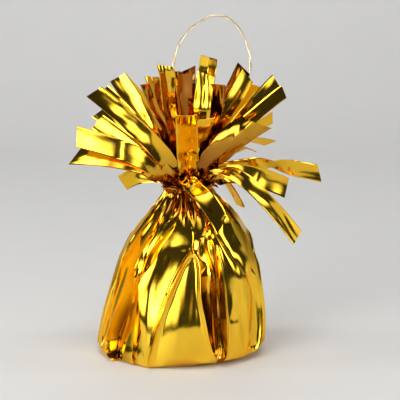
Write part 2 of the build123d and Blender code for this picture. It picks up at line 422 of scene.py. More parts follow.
# Every crease is a line from the base to the neck that the mesh follows. line: (height, angle);
# lift: (height, how far the film stands out just left of the crease, just right of it);
# pinch: a fine ridge from the base up to pinchTop;
# belly: how far the facet to the right of the crease swells out or sinks in
leftCreases = [
    dict(line=[(0, -86), (20, -84), (40, -80), (52, -72)],
         lift=[(0, 0.3, 0.3), (10, 0.8, 0.4), (30, 1.0, 0.5), (50, 0.6, 0.6)], belly=-0.5),
    dict(line=[(0, -74), (10, -76), (22, -76), (37, -73), (45, -67), (50, -62), (57, -58)],
         lift=[(0, 0.2, 0.2), (10, 0.6, -0.2), (25, 1.0, -0.3), (40, 1.2, -0.6), (50, 0.9, 0.1)],
         belly=-0.7),
]

frontCreases = [
    # flap over the left pocket, and the two pleats in the pocket
    dict(line=[(0, -53), (4, -58), (9, -60), (15, -57.5), (24, -53), (33, -50), (42, -49), (50, -43),
               (58, -38)],
         lift=[(0, 0.6, -1.4), (2, 0.9, -2.6), (6, 1.3, -3.6), (20, 1.5, -4.0), (30, 1.2, -2.2),
               (37, 0.9, 0.3), (50, 0.9, 0.2)], pinch=1.1, pinchTop=36, belly=0.0),
    dict(line=[(0, -47.5), (8, -50), (16, -48), (33, -46.5), (42, -45), (50, -38)],
         lift=[(0, -0.8, -1.0), (3, -1.2, -1.8), (12, -1.0, -2.4), (24, -1.0, -2.2), (33, -0.3, -0.3),
               (42, 0.3, 0.2)], belly=0.0),
    dict(line=[(0, -35), (8, -37), (16, -38.5), (34, -43.5), (42, -41.5), (50, -33)],
         lift=[(0, -0.2, -0.8), (3, -0.5, -1.6), (12, -0.7, -2.4), (24, -0.7, -2.3), (34, 0.0, 0.0),
               (42, 0.2, 0.1)], belly=0.0),
    # right edge of the pocket, running up into the long upper fold
    dict(line=[(0, -25), (6, -26.5), (13, -30), (24, -37), (32, -41), (40, -38), (46, -33), (52, -24),
               (57, -15)],
         lift=[(0, 0.2, 0.2), (6, 0.0, 0.3), (13, -0.6, 0.5), (24, -0.8, 0.6), (31, 0.0, 0.5),
               (36, 0.9, -0.2), (42, 1.4, -0.9), (50, 1.2, -0.6), (57, 0.6, 0.2)], belly=0.5),
    # both sides of the arched panel
    dict(line=[(0, -20), (8, -19.5), (20, -16), (31, -11), (38, -6), (42, -2), (45, 1.0), (50, 2.0),
               (57, 1)],
         lift=[(0, 0.6, 0.3), (8, 0.9, 0.2), (20, 1.0, 0.2), (31, 0.9, 0.4), (41, 0.7, 0.9),
               (44.5, 0.2, 1.1), (47, -0.6, -0.6), (52, -0.6, -0.6)], pinch=1.5, pinchTop=46, belly=0.4),
    dict(line=[(0, 26.5), (8, 20), (17, 15.5), (28, 11), (37, 9.5), (42, 7.5), (45, 3.6), (50, 4.2),
               (57, 6)],
         lift=[(0, 0.5, -0.8), (3, 0.7, -2.4), (8, 0.8, -3.6), (17, 0.9, -4.2), (28, 0.8, -4.0),
               (37, 0.8, -2.8), (42, 0.9, -1.4), (44.5, 1.1, -0.6), (47, -0.6, -0.6), (52, -0.5, -0.4)],
         pinch=1.5, pinchTop=46, belly=0.0),
    # the lens-shaped pocket beside it
    dict(line=[(0, 27.8), (8, 22.3), (17, 17.8), (28, 13.4), (37, 11.8), (41, 10.3), (45, 7.2), (49, 8.8),
               (54, 15), (57, 14)],
         lift=[(0, -0.8, -0.8), (3, -2.4, -2.4), (8, -3.6, -3.6), (17, -4.2, -4.2), (28, -4.0, -4.0),
               (36, -2.8, -2.8), (40, -0.2, -3.0), (45, 0.8, -2.6), (50, 0.8, -2.0), (54, 0.6, 0.2),
               (57, 0.4, 0.4)], belly=0.0),
    dict(line=[(0, 28.7), (6, 26.2), (12, 23.5), (20, 22), (25, 21.3), (36, 19.5), (45, 15.6), (50, 15),
               (54, 16.4), (57, 18)],
         lift=[(0, -0.8, -0.8), (3, -2.2, -2.0), (12, -2.2, -1.4), (25, -1.9, -1.1), (33, -1.4, -1.0),
               (36, -0.4, -1.2), (45, -1.8, -1.5), (52, -1.0, -0.5), (55, 0.3, 0.3)], belly=0.0),
    dict(line=[(0, 30.2), (6, 31.8), (20, 30.5), (30, 29), (40, 26), (46, 23.5), (51, 20.5), (54, 17.8),
               (57, 22)],
         lift=[(0, -0.8, 0.5), (3, -2.2, 0.7), (10, -3.6, 0.9), (20, -4.0, 1.0), (30, -4.0, 1.0),
               (40, -3.0, 1.0), (48, -1.8, 0.9), (54, 0.3, 0.5), (57, 0.4, 0.4)],
         pinch=1.0, pinchTop=50, belly=0.8),
]

rightCreases = [
    dict(line=[(0, 52), (10, 54), (20, 58), (28, 60), (38, 44.5), (45, 34.5), (52, 26), (57, 30)],
         lift=[(0, 0.0, 0.0), (20, 0.2, 0.2), (27, 0.4, 0.4), (34, 1.0, 0.6), (42, 1.2, 0.4),
               (50, 0.8, 0.3), (57, 0.3, 0.3)], belly=-0.9),
    dict(line=[(0, 64), (5, 67), (12, 71), (23, 72), (32, 67.5), (41, 61), (48, 53), (57, 47)],
         lift=[(0, 0.2, 0.2), (5, 0.7, 0.0), (12, 1.0, -0.4), (23, 1.0, -0.4), (32, 1.0, 0.3),
               (41, 1.0, 0.8), (48, 0.9, 0.9), (57, 0.5, 0.5)], pinch=0.9, pinchTop=36, belly=-0.3),
    dict(line=[(0, 80), (20, 82), (34, 79), (46, 74), (57, 64)],
         lift=[(0, 0.1, 0.1), (10, 0.3, -0.3), (25, 0.7, -0.4), (40, 0.8, 0.3), (50, 0.6, 0.5)],
         belly=-0.4),
]

# The back carries folds of the same kind as the front: middle of the set, hand and strength. The two sets
# meet at a plain crease right behind
backSets = [(-122, 0.85, 0.75), (122, -0.85, 0.9)]
backBelly = 0.6
backCrease = dict(line=[(0, -180), (60, -180)], lift=[(0, 0.3, 0.3), (40, 0.6, 0.6)], belly=-0.4)


def turnedCrease(crease, middle, hand, strength, belly):
    # a crease carried round the bag, and mirrored where hand is negative
    other = dict(crease)
    other["line"] = [(height, middle + hand * angle) for height, angle in crease["line"]]
    swap = hand < 0
    other["lift"] = [
        (height, strength * (right if swap else left), strength * (left if swap else right))
        for height, left, right in crease["lift"]
    ]
    other["belly"] = belly
    return other


def allCreases():
    sets = []
    for middle, hand, strength in backSets:
        bellies = [crease["belly"] for crease in frontCreases]
        if hand < 0:
            bellies = bellies[-2::-1] + [backBelly]
        order = frontCreases if hand > 0 else frontCreases[::-1]
        sets.append([turnedCrease(c, middle, hand, strength, b) for c, b in zip(order, bellies)])
    last = dict(backCrease)
    last["line"] = [(height, -angle) for height, angle in backCrease["line"]]
    return [backCrease] + sets[0] + leftCreases + frontCreases + rightCreases + sets[1] + [last]


def creaseColumns(creases):
    # columns of the mesh shared out between the creases by the width of their facets
    angles = np.array([readTable(bag["shareHeight"], c["line"]) for c in creases])
    widths = np.diff(angles)
    counts = np.maximum(np.rint(bag["columns"] * widths / 360), bag["leastColumns"]).astype(int)
    return np.concatenate([[0], np.cumsum(counts)])


def zigzag(phase):
    return 2 * np.abs(2 * (phase - np.floor(phase + 0.5))) - 1


def bagShape(height, radius, creases, columns):
    # angle and lift of every mesh point, one row for each height
    draw = np.random.default_rng(bag["seed"])
    gather = rampUp(height, *bag["gatherRamp"])
    spacing = 360 / (len(creases) - 1)
    lines = []
    for k, crease in enumerate(creases):
        line = roundCurve(crease["line"], bag["creasePoints"])
        lift = roundCurve(crease["lift"], bag["creasePoints"])
        even = k * spacing - 180
        if 0 < k < len(creases) - 1:
            even += draw.uniform(-1, 1) * bag["wander"] * spacing
        ridge = draw.uniform(*bag["ridge"])
        fade = bag["pinchFade"]
        pinch = crease.get("pinch", 0) * (1 - rampUp(height, crease.get("pinchTop", 0) - fade, fade))
        angle = np.interp(height, line[:, 0], line[:, 1])
        left = np.interp(height, lift[:, 0], lift[:, 1])
        right = np.interp(height, lift[:, 0], lift[:, 2])
        lines.append((
            angle + (even - angle) * gather,
            left + (ridge - left) * gather,
            right + (ridge - right) * gather,
            pinch * rampUp(height, *bag["pinchRamp"]),
        ))
    angles = np.zeros((len(height), columns[-1] + 1))
    lifts = np.zeros_like(angles)
    for k in range(len(creases) - 1):
        (here, hereLeft, hereRight, herePinch), (there, thereLeft, _, therePinch) = lines[k], lines[k + 1]
        plain = np.linspace(0, 1, columns[k + 1] - columns[k] + 1)
        share = plain - bag["crowding"] * np.sin(2 * math.pi * plain) / (2 * math.pi)
        place = slice(columns[k], columns[k + 1] + 1)
        angles[:, place] = here[:, None] + (there - here)[:, None] * share
        half = np.radians(there - here)[:, None] / 2
        chord = radius[:, None] * (np.cos(half) / np.cos(half * (2 * share - 1)) - 1)
        swell = creases[k]["belly"] * rampUp(height, *bag["bellyRamp"]) * (1 - gather)
        swell = swell - draw.uniform(*bag["valley"]) * gather
        inside = hereRight[:, None] * (1 - share) + thereLeft[:, None] * share
        inside = inside + bag["flatness"] * chord * (1 - gather)[:, None]
        inside = inside + swell[:, None] * np.sin(math.pi * share)
        fine = draw.uniform(*bag["fineHeight"])
        fine = fine * zigzag(draw.uniform(*bag["fineCount"]) * share + draw.uniform(0, 1))
        inside = inside + gather[:, None] * fine * np.sin(math.pi * share)
        gap = (np.radians(there - here) * radius)[:, None]
        inside = inside + herePinch[:, None] * np.exp(-((gap * share / bag["pinchWidth"]) ** 2))
        inside = inside + therePinch[:, None] * np.exp(-((gap * (1 - share) / bag["pinchWidth"]) ** 2))
        inside[:, 0] = np.maximum(hereLeft, hereRight) + herePinch
        lifts[:, place] = inside
    lifts[:, -1] = lifts[:, 0]
    return angles, lifts


def dented(angles, height, radius):
    # how far the dents push the film in at every mesh point
    pushed = np.zeros_like(angles)
    for angle, level, wide, tall, depth in dents:
        turned = (angles - angle + 180) % 360 - 180
        beside = np.radians(turned) * radius[:, None] / wide
        above = (height[:, None] - level) / tall
        pushed += depth * np.maximum(1 - np.abs(beside + bag["dentLean"] * above) - np.abs(above), 0)
    tense = rampUp(height, *bag["streakRamp"]) * (1 - rampUp(height, *bag["streakEnd"]))
    for waves, size, phase, lean in bag["streaks"]:
        turned = waves * np.radians(angles) + phase + lean * height[:, None]
        pushed += tense[:, None] * size * np.sin(turned)
    return pushed


def bagPaintedShade(lifts, level):
    # painted shade in the film's colour, in place of shade and darker reflections: in the pockets, low
    # down in the folds, and all over the throat, darker in the gathers' valleys
    throat = rampUp(level, *bag["throatRamp"])
    low = rampUp(-lifts, *bag["footShadeRamp"]) * (1 - rampUp(level, *bag["footShadeEnd"]))
    first, span = bag["pocketShade"]
    pockets = (bag["footShade"] * low - lifts - first) / span
    gathers = bag["throatShade"] + bag["throatContrast"] * (bag["throatLevel"] - lifts)
    return (1 - throat) * pockets + throat * gathers


def foilBag(material):
    creases = allCreases()
    columns = creaseColumns(creases)
    rows = bag["baseRows"] + bag["wallRows"]
    piece, across, along = filmGrid("foilBag", int(columns[-1]), rows)
    column = np.rint((across + 1) / 2 * columns[-1]).astype(int)
    row = np.rint((along + 1) / 2 * rows).astype(int)

    # rows of the mesh along the outline, from the middle of the base to the rim
    outline = roundCurve(bag["outline"], bag["outlinePoints"])
    place = np.linspace(0, 1, len(outline))
    split = bag["basePoints"]
    baseEnd = np.interp(bag["baseRadius"], outline[:split, 1], place[:split])
    tiePlace = np.interp(bag["tieHeight"], outline[split:, 0], place[split:])
    share = np.interp(np.arange(rows + 1), [0, bag["baseRows"], rows], [0, baseEnd, 1])
    height = np.interp(share, place, outline[:, 0])
    radius = np.interp(share, place, outline[:, 1])
    slope = np.gradient(outline, axis=0)
    slope /= np.linalg.norm(slope, axis=1)[:, None]
    outward = np.interp(share, place, slope[:, 0])
    upward = -np.interp(share, place, slope[:, 1])

    # folds, squeezed flat where the tie goes round
    angles, lifts = bagShape(height, radius, creases, columns)
    lifts = lifts - dented(angles, height, radius)
    turn = np.radians(angles)
    level = height[:, None]
    lifts = lifts * rampUp(share, baseEnd, bag["liftRamp"])[:, None]
    lifts = lifts * (1 - np.exp(-(((level - bag["tieHeight"]) / bag["tieReach"]) ** 2)))

    # how far out each point is, with room for the loop's stem at the back
    pull = np.maximum(outward, rampUp(radius, *bag["cornerRamp"]))[:, None]
    reach = radius[:, None] + lifts * pull
    stem = np.exp(-(((np.abs(angles) - 180) / bag["stemAngle"]) ** 2))
    flare = np.maximum(reach - bag["stemRoom"], 0) * rampUp(level, *bag["stemRamp"])
    reach = reach - stem * flare
    rim = np.clip((share - tiePlace) * bag["rimPace"], 0, 1)[:, None]
    over = rim * readTable(angles, bag["collar"])
    frill = rampUp(level, *bag["frillRamp"]) * bag["frill"] * (1 - stem)
    size, waves, phase = bag["frillOut"]
    reach = reach + size * frill * np.sin(waves * turn + phase) + bag["collarOut"] * over

    # how high it is
    foot = readTable(angles, bag["footLift"]) * (1 - smoothStep(level / bag["footReach"]))
    foot = foot * rampUp(radius, *bag["footRamp"])[:, None]
    rising = upward * np.where(height < bag["lowHeight"], bag["lowRise"], 1.0)
    rise = np.maximum(level + lifts * rising[:, None] + foot, 0.0)
    rise = rise + frill * sum(size * np.sin(waves * turn + phase) for size, waves, phase in bag["frillUp"])
    rise = rise - bag["collarDrop"] * over * rim ** bag["collarBend"]

    middle = readTable(height, bag["axis"])[:, None]
    points = np.stack([middle + reach * np.sin(turn), -reach * np.cos(turn), rise], axis=2)
    placePoints(piece, points[row, column])
    # painted shade, stored on the points for the film's colour
    markPaintedShade(piece, bagPaintedShade(lifts, level)[row, column])
    mergePoints(piece, bag["mergeGap"])
    thicken(piece, bag["film"], -1)
    creasedShade(piece, bag["sharpFrom"])
    finishPiece(piece, material, "weight", "gold_film", "foil_wrap")
    return piece


# The film strips, in millimetres. They stand in rings round the rim, and their long edges curl up by
# edgeCurl. A value called Run is the length in which a slow wave along a strip goes on by one radian.

strips = {
    "rimMiddle": (3.4, 0.0, 69.5),
    "firstRing": 5.69,
    "ringPitch": 0.8,
    "rootDepth": 5.0,
    "bendShare": 0.35,
    "twistShare": 0.4,
    "film": 0.1,
    "edgeCurl": 0.14,
    "edgeFrom": 0.95,
    "pleatShare": 0.75,
    "wander": 0.35,
    "wanderRun": (4, 7),
    "crinkleFolds": 1.1,
    "crinkleFade": (0.6, 0.4),
    "fadeRun": (3, 6),
    "freeRamp": (4.0, 10.0),
    "swayRun": (4.0, 6.0),
    "skew": (-0.7, 0.7),
    "curlBend": 2.5,
    "cutBend": 4,
    "stubPoints": 14,
    "freePoints": 120,
    "columns": 24,
    "rows": 72,
    "seed": 11,
    # seed for each strip's turn and painted shade
    "turnAndShadeSeed": 3,
    "sharpFrom": 34,
}

# How the film of a strip lies: width on the way and at the root, the length over which it opens, cup and
# lengthwise fold in its section, crinkles along it, ripples across it and their pitch, how far it sways,
# how far its middle bows up and its end curls, the slant of the cut, a turn about the length in degrees,
# and how much painted shade darkens its colour at the end and at the root, in place of shade and darker
# reflections among the strips. A pair is a range to draw from
stripLooks = {
    "fringe": dict(width=7.2, root=3.2, opens=7.0, cup=(-0.5, 0.5), fold=0.0, crinkle=(0.0, 0.06),
                   ripple=(0.05, 0.16), pitch=(9.0, 15.0), sway=(0.3, 0.9), bow=(1.2, 3.0),
                   curl=(-2.5, 0.5), slant=(-1.8, 1.8), turn=0, shade=(0.0, 0.2), rootShade=0.8,
                   shadeReach=0.45),
    "tuft": dict(width=7.2, root=3.0, opens=9.0, cup=(-0.5, 0.5), fold=(-0.9, 0.9), crinkle=(0.1, 0.4),
                 ripple=(0.10, 0.30), pitch=(7.0, 12.0), sway=(0.3, 0.8), bow=(-2.2, 1.2),
                 curl=(-1.0, 3.6), slant=(-1.6, 1.6), turn=(-35, 35), shade=(0.1, 0.9), rootShade=1.0,
                 shadeReach=0.8),
}

# Strips with a look of their own. roll turns the film about its length: (share of the length, degrees);
# drift moves its middle line to the right: (share of the length, millimetres)
ownLooks = {
    "fringe01": dict(width=6.4, root=2.2, opens=16.0, cup=0.1, bow=0.8,
                     roll=[(0, -35), (0.3, -20), (1, 0)]),
    "fringe03": dict(bow=1.5, curl=-1.0, slant=1.6, roll=[(0, 0), (0.3, 45), (1, 48)]),
    "fringe04": dict(cup=0.2, ripple=0.05, bow=3.6, curl=-1.5, slant=-2.4,
                     roll=[(0, 0), (0.3, 22), (1, 26)]),
    "fringe05": dict(width=7.8, root=3.6, opens=9.0, cup=0.3, bow=1.0, curl=0.0, slant=-2.6,
                     rootShade=0.5,
                     drift=[(0, 0), (0.12, -2.6), (0.25, -5.0), (0.4, -6.0), (0.6, -4.6), (1, 0)]),
    "fringe06": dict(width=5.8, root=2.4, opens=14.0, cup=0.2, ripple=0.05,
                     roll=[(0, 10), (0.25, 30), (0.6, 44), (1, 56)]),
    "fringe07": dict(width=8.0, cup=-0.3, ripple=0.1, slant=0.8, roll=[(0, 0), (0.3, -26), (1, -34)]),
    "fringe08": dict(width=6.6, ripple=0.05, sway=0.2, bow=1.0,
                     roll=[(0, -30), (0.25, -66), (0.48, -62), (0.66, 4), (0.84, -54), (1, -62)]),
    "fringe11": dict(width=6.4, root=2.2, opens=16.0, cup=0.1, bow=0.8,
                     roll=[(0, 70), (0.3, 55), (1, 0)]),
    "fringe13": dict(roll=[(0, 0), (0.3, 20), (1, 26)]),
    "fringe14": dict(bow=2.5, roll=[(0, 0), (0.3, 6), (1, 2)]),
    "fringe15": dict(width=8.0, cup=0.2, ripple=0.05, bow=3.6, curl=-2.0,
                     roll=[(0, 0), (0.3, 14), (1, 18)]),
    "fringe16": dict(width=11.0, root=5.0, cup=1.2, fold=1.2, crinkle=0.3, slant=3.6, shade=0.6,
                     rootShade=1.0, shadeReach=1.0, bow=0.5, curl=2.0,
                     roll=[(0, 0), (0.25, 30), (0.6, 16), (1, -24)]),
    "fringe17": dict(width=8.0, ripple=0.5, pitch=7.0, crinkle=0.4),
    "fringe22": dict(roll=[(0, 0), (0.3, 40), (1, 44)]),
    "fringe24": dict(bow=3.0, roll=[(0, 0), (0.3, 58), (1, 66)]),
    "fringe25": dict(width=8.4, root=7.2, opens=4.0, cup=0.3, ripple=0.06, pitch=9.5, slant=0.2, bow=0.6,
                     curl=0.2, rootShade=0.1),
    "fringe26": dict(width=7.0, root=5.0, ripple=0.2, pitch=9.0, slant=0.3, bow=0.6, curl=0.2),
    "fringe27": dict(bow=2.5, roll=[(0, 0), (0.3, -62), (1, -66)]),
    "fringe28": dict(roll=[(0, 0), (0.3, -54), (1, -50)]),
    "fringe29": dict(roll=[(0, 0), (0.3, -54), (1, -58)]),
    "fringe30": dict(shadeReach=0.9, sway=0.2, bow=0.4, curl=0.0, roll=[(0, 0), (0.3, -4), (1, 0)]),
    # shade sets a strip's painted shade; the dark tuft strips stand in for shaded or darkly reflecting
    # film
    "tuft01": dict(shade=0.8),
    "tuft02": dict(shade=0.7),
    "tuft03": dict(crinkle=0.3, shade=0.6),
    "tuft04": dict(crinkle=0.1, shade=0.05),
    "tuft05": dict(crinkle=0.1, ripple=0.1, fold=0.8, bow=0.5, curl=0.0, turn=-30, shade=0.95),
    "tuft06": dict(cup=0.2, fold=0.2, crinkle=0.05, ripple=0.25, pitch=12.0, bow=-2.2, curl=3.6, turn=8,
                   shade=0.05),
    "tuft07": dict(crinkle=0.4, shade=0.7),
    "tuft08": dict(crinkle=0.3, shade=0.85),
    "tuft11": dict(crinkle=0.4, shade=1.0),
    "tuft12": dict(crinkle=0.4, shade=0.9),
    "tuft13": dict(crinkle=0.0, ripple=0.15, shade=0.05),
    "tuft14": dict(shade=0.9),
}

# Ring by ring from the outside. Each strip: where it leaves the rim in degrees from the front, its tip
# from the middle of the rim, how far it arches up, and how far it twists about its length in degrees
stripRings = [
    ("fringe", [
        (-160, (-8.0, 25.0, -13.0), 11.0, 0.0), (-137, (-24.0, 30.0, 2.0), 7.0, 15.0),
        (-113, (-28.4, 22.0, -4.5), 6.0, 55.0), (-84, (-45.2, -3.0, 10.3), 5.0, 80.0),
        (14, (12.8, -19.4, -15.0), 12.0, 0.0), (40, (42.6, -17.0, -20.2), 20.0, 0.0),
        (67, (38.8, -6.0, -2.1), 8.0, -75.0), (93, (52.4, 7.0, 1.7), 9.0, -35.0),
        (117, (21.6, 13.0, -11.7), 8.0, 0.0), (140, (27.0, 29.0, 1.0), 7.0, -15.0),
        (162, (11.0, 24.0, -15.0), 11.0, 0.0),
    ]),
    ("fringe", [
        (-136, (-31.0, 27.0, 14.0), 8.0, 20.0), (-110, (-36.4, 10.0, 26.8), 3.0, 85.0),
        (-84, (-36.8, 5.0, 22.9), 1.0, 85.0), (-42, (-43.2, -12.0, 19.3), 3.0, 70.0),
        (46, (25.2, -14.0, 24.7), 4.0, -55.0), (79, (26.0, -5.0, 12.4), 2.5, -15.0),
        (106, (34.4, 16.0, 22.8), 3.0, -50.0), (134, (33.0, 27.0, 13.0), 9.0, -20.0),
    ]),
    ("fringe", [
        (-162, (-10.0, 10.0, 35.0), 3.0, 0.0), (-134, (-23.8, 14.0, 40.1), 4.0, 60.0),
        (-102, (-28.6, 8.0, 40.6), 4.0, 60.0), (-61, (-34.0, -2.0, 35.6), 4.0, 85.0),
        (-32, (-36.6, -14.0, 36.8), 3.0, 5.0), (-4, (-1.0, -26.0, 28.2), 8.0, 0.0),
        (25, (7.0, -20.0, 26.9), 8.0, 0.0), (53, (37.6, -9.0, 35.8), 4.0, -50.0),
        (86, (23.8, 1.0, 41.4), 4.0, -75.0), (114, (35.4, 12.0, 38.2), 2.0, -65.0),
        (142, (26.0, 14.0, 36.9), 1.0, -110.0), (170, (5.0, 11.0, 34.0), 3.0, 0.0),
    ]),
    ("tuft", [
        (-160, (-8.0, 9.0, 42.0), 3.0, -20.0), (-121, (-14.0, 3.0, 41.1), 4.0, 80.0),
        (-82, (-15.6, -6.0, 39.2), 7.0, 75.0), (-46, (-9.6, -8.0, 46.4), 4.0, 45.0),
        (-10, (-2.0, -10.0, 43.3), 4.0, 5.0), (26, (6.8, -9.5, 42.2), 4.0, -35.0),
        (63, (13.6, -6.0, 38.8), 5.0, -70.0), (116, (22.8, 6.0, 43.4), 9.0, -110.0),
    ]),
    ("tuft", [
        (-125, (-7.0, 3.0, 38.0), 2.0, 110.0), (-65, (-5.0, -1.0, 40.0), 2.0, 65.0),
        (-10, (1.0, -4.0, 37.0), 2.0, 20.0), (45, (6.0, -1.0, 36.0), 2.0, -40.0),
        (140, (8.6, 6.0, 48.5), 4.0, 45.0), (-170, (-1.2, 6.0, 43.8), 2.0, -10.0),
    ]),
]


def asRange(value):
    return value if isinstance(value, tuple) else (value, value)


def rowDot(first, second):
    return (first * second).sum(axis=1, keepdims=True)


def unit(rows):
    return rows / np.linalg.norm(rows, axis=1, keepdims=True)


def stripLine(ring, azimuth, tip, arch, twist, roll, drift):
    # the middle line of a strip, its direction, the direction across it and the length so far
    turn = math.radians(azimuth)
    out = np.array([math.sin(turn), -math.cos(turn), 0.0])
    side = np.array([math.cos(turn), math.sin(turn), 0.0])
    up = np.array([0.0, 0.0, 1.0])
    rim = np.array(strips["rimMiddle"])
    start = rim + out * (strips["firstRing"] - ring * strips["ringPitch"])
    end = rim + np.array(tip)
    bend = start + (end - start) * strips["bendShare"] + up * arch
    share = np.linspace(0, 1, strips["freePoints"])[:, None]
    free = start * (1 - share) ** 2 + bend * 2 * share * (1 - share) + end * share**2
    free = free + np.array([[1.0, 0.0, 0.0]]) * readTable(share, drift)
    sunk = strips["rootDepth"] * np.linspace(1, 0, strips["stubPoints"], endpoint=False)
    stub = start - up * sunk[:, None]
    middle = np.vstack([stub, free])
    share = np.concatenate([np.zeros(len(stub)), share[:, 0]])
    run = runLength(middle)
    even = np.linspace(0, run[-1], strips["rows"] + 1)
    middle = np.stack([np.interp(even, run, middle[:, k]) for k in range(3)], axis=1)
    share = np.interp(even, run, share)
    along = unit(np.gradient(middle, axis=0))
    level = unit(side - along * rowDot(along, side[None, :]))
    upright = np.cross(along, level)
    angle = math.radians(twist) * smoothStep(share / strips["twistShare"])
    angle = angle + np.radians(readTable(share, roll))
    angle = angle[:, None]
    across = level * np.cos(angle) + upright * np.sin(angle)
    return middle, along, across, even - strips["rootDepth"]


def filmStrip(name, line, look, shade, draw):
    # the film laid along its middle line; offset is how far it leaves the plain strip
    piece, across, length = filmGrid(name, strips["columns"], strips["rows"])
    middle, along, wide, run = line
    face = np.cross(wide, along)
    upward = math.copysign(1, face[strips["rows"] // 2, 2])
    row = np.rint((length + 1) / 2 * strips["rows"]).astype(int)
    place = run[row]
    reach = np.maximum(place / run[-1], 0)
    amount = {key: draw.uniform(*asRange(look[key])) for key in
              ("cup", "fold", "crinkle", "ripple", "pitch", "sway", "bow", "curl", "slant")}

    # narrow and pleated at the root, flat further out
    opened = smoothStep(run / look["opens"])
    width = look["root"] + (look["width"] - look["root"]) * opened
    slack = np.sqrt(np.maximum(look["width"] ** 2 - width**2, 0)) / 4
    opened = opened[row]
    pleat = zigzag(across + draw.uniform(0, 1)) * (strips["pleatShare"] * slack)[row]

    # section, crinkles along the strip, then sway and ripples
    section = amount["cup"] * (1 - across**2) + amount["fold"] * (0.5 - np.abs(across))
    section = section + upward * strips["edgeCurl"] * (np.abs(across) > strips["edgeFrom"])
    wander = strips["wander"] * np.sin(place / draw.uniform(*strips["wanderRun"]) + draw.uniform(0, wave))
    folds = strips["crinkleFolds"] * across
    crinkle = amount["crinkle"] * zigzag(folds + wander + draw.uniform(0, 1))
    steady, fading = strips["crinkleFade"]
    crinkle = crinkle * (steady + fading * np.sin(place / draw.uniform(*strips["fadeRun"])))
    free = rampUp(place, *strips["freeRamp"])
    sway = amount["sway"] * np.sin(place / draw.uniform(*strips["swayRun"]) + draw.uniform(0, wave))
    skew = draw.uniform(*strips["skew"]) * across
    ripple = amount["ripple"] * np.sin(wave * place / amount["pitch"] + skew + draw.uniform(0, wave))
    bow = amount["bow"] * 4 * reach * (1 - reach) + amount["curl"] * reach ** strips["curlBend"]
    offset = pleat + (section + crinkle) * opened + (sway + ripple) * free + upward * bow

    cut = amount["slant"] * across * reach ** strips["cutBend"]
    points = middle[row] + wide[row] * (across * width[row] / 2)[:, None]
    points = points + face[row] * offset[:, None] + along[row] * cut[:, None]
    placePoints(piece, points)
    # painted shade: darkest at the root, easing to the strip's own amount towards the end
    markPaintedShade(piece, shade + (look["rootShade"] - shade) * (1 - smoothStep(reach / look["shadeReach"])))
    thicken(piece, strips["film"], 0)
    creasedShade(piece, strips["sharpFrom"])
    return piece


def allStrips(material):
    draw = np.random.default_rng(strips["seed"])
    turnAndShadeDraw = np.random.default_rng(strips["turnAndShadeSeed"])
    count = {"fringe": 0, "tuft": 0}
    made = []
    for ring, (group, rows) in enumerate(stripRings):
        for azimuth, tip, arch, twist in rows:
            count[group] += 1
            label = f"{count[group]:02d}"
            look = {**stripLooks[group], **ownLooks.get(group + label, {})}
            turn = turnAndShadeDraw.uniform(*asRange(look["turn"]))
            # the strip's painted shade, drawn or given
            shade = turnAndShadeDraw.uniform(*asRange(look["shade"]))
            roll = look.get("roll", [(0, 0), (strips["twistShare"], turn), (1, turn)])
            drift = look.get("drift", [(0, 0), (1, 0)])
            line = stripLine(ring, azimuth, tip, arch, twist, roll, drift)
            piece = filmStrip(f"{group}Strip{label}", line, look, shade, draw)
            finishPiece(piece, material, "weight", "gold_film", f"{group}_strip_{label}")
            made.append(piece)
    return made


# The wire loop, in millimetres and degrees: two strands twisted together, a wound stem and an eye round
# the tie

loop = {
    "pivot": (3.4, 8.85, 67.0),
    "height": 69.0,
    "width": 31.0,
    "stem": 5.0,
    "stemStrands": 1.4,
    "footRadius": 22.0,
    "crown": 21.0,
    "shoulderTurn": 55.0,
    "sideLean": 11.0,
    "backLean": 10.0,
    "eyeRadius": 1.1,
    "strandRadius": 0.27,
    "strandApart": 0.30,
    "strandPitch": 15.0,
    "stemTurns": 5,
    "stemCoil": 1.0,
    "coilWire": 0.36,
    "coilStart": 0.3,
    "stemCore": 0.75,
    "coreEnd": 0.4,
    "eyeWire": 0.42,
    "arcSteps": 40,
    "strandPoints": 900,
    "coilPoints": 160,
    "corePoints": 12,
    "eyePoints": 48,
    "tubeSteps": 2,
}


def loopHalf():
    # right half of the loop in its own plane, from the stem to the top
    half = loop["width"] / 2
    strand = loop["stemStrands"] / 2
    rise = loop["height"] - loop["crown"] - loop["stem"]
    legTurn = 2 * math.atan2(half - strand, rise)
    legRadius = rise / math.sin(legTurn) - loop["footRadius"]
    turn = math.radians(loop["shoulderTurn"])
    sine, cosine = math.sin(turn), math.cos(turn)
    top = (half * sine - loop["crown"] * (1 - cosine)) / (sine + cosine - 1)
    side = (half - top * cosine) / (1 - cosine)
    bends = [(loop["footRadius"], -legTurn), (legRadius, legTurn), (side, turn), (top, math.pi / 2 - turn)]
    points = [(strand, loop["stem"] / 2), (strand, loop["stem"])]
    heading = math.pi / 2
    steps = loop["arcSteps"]
    for radius, sweep in bends:
        for _ in range(steps):
            stride = 2 * radius * math.sin(abs(sweep) / steps / 2)
            heading += sweep / steps / 2
            x, y = points[-1]
            points.append((x + stride * math.cos(heading), y + stride * math.sin(heading)))
            heading += sweep / steps / 2
    return points


def loopFrame():
    back = math.radians(loop["backLean"])
    tilt = math.radians(loop["sideLean"])
    rise = Vector((0, math.sin(back), math.cos(back)))
    along = rise * math.cos(tilt) + Vector((math.sin(tilt), 0, 0))
    across = Vector((math.cos(tilt), 0, 0)) - rise * math.sin(tilt)
    return np.array(across), np.array(along)


def wireTube(name, path, radius, closed):
    curve = bpy.data.curves.new(name, "CURVE")
    curve.dimensions = "3D"
    curve.bevel_depth = radius * mm
    curve.bevel_resolution = loop["tubeSteps"]
    curve.use_fill_caps = not closed
    spline = curve.splines.new("POLY")
    spline.points.add(len(path) - 1)
    for point, place in zip(spline.points, path):
        point.co = (*(np.array(place) * mm), 1)
    spline.use_cyclic_u = closed
    piece = bpy.data.objects.new(name, curve)
    bpy.context.collection.objects.link(piece)
    pick(piece)
    bpy.ops.object.convert(target="MESH")
    return bpy.context.object


